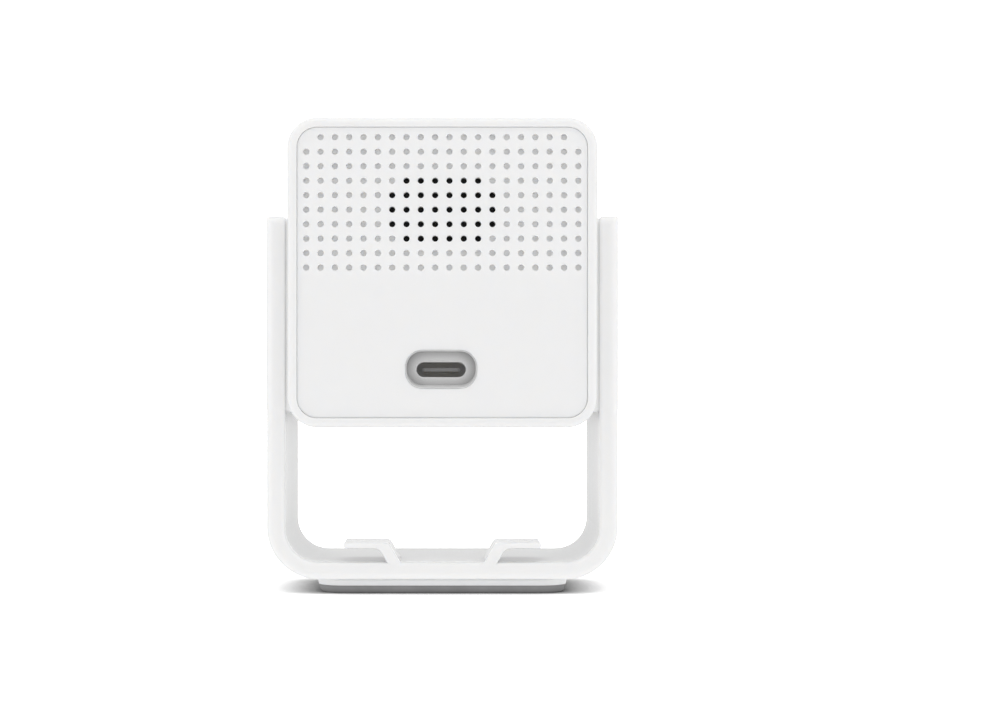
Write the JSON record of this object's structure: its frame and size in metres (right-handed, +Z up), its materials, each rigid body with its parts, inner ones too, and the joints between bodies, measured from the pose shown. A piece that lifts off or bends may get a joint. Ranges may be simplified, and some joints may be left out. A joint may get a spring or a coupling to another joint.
{
  "type": "pet camera",
  "caption": "Small cube-shaped indoor pet camera: the head tilts in a U-shaped bracket on a swivelling foot, with a dotted speaker grille, a power socket and cable hooks at the rear.",
  "frame": {"origin": "centre of the foot's underside, on the surface that the camera stands on", "axes": "+Z up; the lens looks along -Y, and the speaker grille and power socket face +Y; X runs along the tilt axis"},
  "size_m": [0.061, 0.0532, 0.0812],
  "materials": {
    "shell_white": "fine satin moulded ABS",
    "cover_white": "fine satin moulded ABS",
    "bracket_white": "fine satin moulded ABS",
    "foot_white": "fine satin moulded ABS",
    "foot_rubber": "matt grained rubber",
    "port_grey": "satin grey moulded plastic",
    "window_black": "polished infrared-clear acrylic",
    "ring_black": "black anodised, turned rings",
    "barrel_black": "matt black with fine turned threads",
    "lens_glass": "polished, coated",
    "filter_glass": "polished, dichroic coated",
    "inner_black": "matt black moulded",
    "frame_grey": "matt glass-filled moulded",
    "board_green": "solder mask over copper",
    "chip_black": "matt moulded epoxy",
    "sensor_die": "ceramic package under cover glass",
    "steel": "zinc plated",
    "shield_tin": "tin plated, stamped",
    "socket_steel": "drawn stainless",
    "brass": "knurled",
    "copper": "enamelled copper wire",
    "magnet_nickel": "nickel plated",
    "foam_black": "closed-cell foam",
    "silicone": "soft silicone",
    "mesh_black": "fine woven acoustic mesh",
    "cone_paper": "pressed film with rubber surround",
    "light_guide": "frosted polycarbonate",
    "led_resin": "clear resin on white package",
    "heat_sink": "plain anodised, finned",
    "thermal_pad": "soft silicone pad",
    "flex_amber": "polyimide film",
    "antenna_flex": "copper on black film",
    "cable_grey": "extruded jacket",
    "lead_red": "extruded insulation",
    "washer_acetal": "low-friction acetal",
    "button_white": "fine satin moulded ABS"
  },
  "bodies": {
    "base": {"rubber_foot": "foot_rubber", "base_plate": "foot_white", "swivel_friction_washer": "washer_acetal"},
    "bracket": {"yoke_bracket": "bracket_white", "swivel_insert": "brass", "swivel_screw": "steel", "swivel_spring_washer": "steel", "pivot_screws": "steel", "pivot_spring_washers": "steel"},
    "head": {"pivot_friction_washers": "washer_acetal", "head_shell": "shell_white", "rear_cover": "cover_white", "port_bezel": "port_grey", "front_window": "window_black", "lens_ring": "ring_black", "lens_barrel": "barrel_black", "front_lens_element": "lens_glass", "middle_lens_element": "lens_glass", "rear_lens_element": "lens_glass", "lens_holder": "inner_black", "filter_coil": "copper", "sensor_board": "board_green", "image_sensor": "sensor_die", "sensor_board_screws": "steel", "infrared_board": "board_green", "infrared_leds": "led_resin", "lens_gasket": "foam_black", "status_led": "led_resin", "status_light_pipe": "light_guide", "microphone": "shield_tin", "mic_boot": "silicone", "internal_frame": "frame_grey", "frame_screws": "steel", "main_board": "board_green", "main_board_screws": "steel", "processor": "chip_black", "thermal_pad": "thermal_pad", "heat_sink": "heat_sink", "memory_chip": "chip_black", "wifi_shield": "shield_tin", "wifi_antenna": "antenna_flex", "antenna_cable": "cable_grey", "ribbon_connectors": "inner_black", "sensor_ribbon": "flex_amber", "usb_c_shell": "socket_steel", "usb_c_tongue": "frame_grey", "speaker_mesh": "mesh_black", "speaker_gasket": "foam_black", "speaker_basket": "frame_grey", "speaker_magnet": "magnet_nickel", "voice_coil": "copper", "speaker_cone": "cone_paper", "speaker_leads": "lead_red", "reset_switch": "inner_black"},
    "button": {"reset_button": "button_white", "switch_plunger": "inner_black"},
    "filter": {"filter_carriage": "inner_black", "ir_cut_glass": "filter_glass", "clear_glass": "lens_glass", "filter_magnet": "magnet_nickel"}
  },
  "joints": [
    {"name": "base_swivel", "type": "hinge", "parent": "base", "child": "bracket", "pos_m": [0, 0, 0.0025], "axis": [0, 0, 1], "continuous": true},
    {"name": "head_tilt", "type": "hinge", "parent": "bracket", "child": "head", "pos_m": [0, 0, 0.0551], "axis": [1, 0, 0], "range_deg": [-90, 90]},
    {"name": "reset_press", "type": "slide", "parent": "head", "child": "button", "axis": [0, 0, 1], "range_m": [0, 0.0004], "stiffness_N_per_m": 1500, "springref_m": -0.0003},
    {"name": "filter_shift", "type": "slide", "parent": "head", "child": "filter", "axis": [-1, 0, 0], "range_m": [0, 0.0056]}
  ]
}
